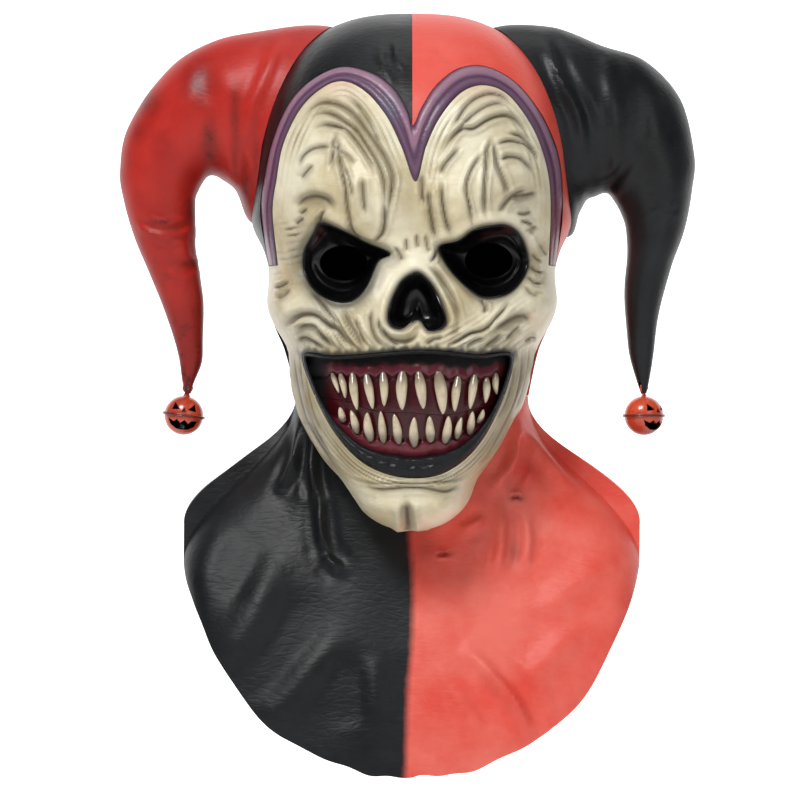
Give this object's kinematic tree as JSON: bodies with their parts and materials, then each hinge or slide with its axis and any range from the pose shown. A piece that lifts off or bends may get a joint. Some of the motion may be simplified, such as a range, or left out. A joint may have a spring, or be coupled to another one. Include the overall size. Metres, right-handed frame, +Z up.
{
  "type": "jester mask",
  "caption": "Overhead latex jester mask: grinning bone face, two-coloured horned hood with bells, and a bib over the neck.",
  "frame": {"origin": "inside of the crown, where the mask rests on the top of a head", "axes": "+Z up, -Y the way the face looks, -X the mask's left side as seen from the front"},
  "size_m": [0.3665, 0.2354, 0.4837],
  "materials": {
    "bone_latex": "satin, brown wash in the folds",
    "purple_latex": "satin",
    "black_latex": "semi-gloss",
    "red_latex": "satin, airbrushed to black",
    "dark_red_latex": "satin with dark smudges",
    "socket_gloss": "gloss lacquer on latex",
    "lip_latex": "semi-gloss",
    "gum_latex": "gloss",
    "teeth": "gloss ivory, stained at the roots",
    "bell_paint": "gloss orange-red",
    "steel": "plain"
  },
  "bodies": {
    "root": {"face": "bone_latex", "brow_band": "purple_latex", "hood_left": "black_latex", "horn_right": "black_latex", "hood_right": "red_latex", "bib": "red_latex", "horn_left": "dark_red_latex", "eye_socket_left": "socket_gloss", "eye_socket_right": "socket_gloss", "nose_cavity": "socket_gloss", "lips": "lip_latex", "gum_upper": "gum_latex", "gum_lower": "gum_latex", "upper_tooth_01": "teeth", "upper_tooth_02": "teeth", "upper_tooth_03": "teeth", "upper_tooth_04": "teeth", "upper_tooth_05": "teeth", "upper_tooth_06": "teeth", "upper_tooth_07": "teeth", "upper_tooth_08": "teeth", "upper_tooth_09": "teeth", "upper_tooth_10": "teeth", "upper_tooth_11": "teeth", "upper_tooth_12": "teeth", "lower_tooth_01": "teeth", "lower_tooth_02": "teeth", "lower_tooth_03": "teeth", "lower_tooth_04": "teeth", "lower_tooth_05": "teeth", "lower_tooth_06": "teeth", "lower_tooth_07": "teeth", "lower_tooth_08": "teeth", "lower_tooth_09": "teeth", "lower_tooth_10": "teeth", "lower_tooth_11": "teeth", "bell_cap_left": "bell_paint", "bell_base_left": "bell_paint", "bell_pea_left": "steel", "bell_pin_left": "steel", "bell_cap_right": "bell_paint", "bell_base_right": "bell_paint", "bell_pea_right": "steel", "bell_pin_right": "steel"}
  },
  "joints": []
}
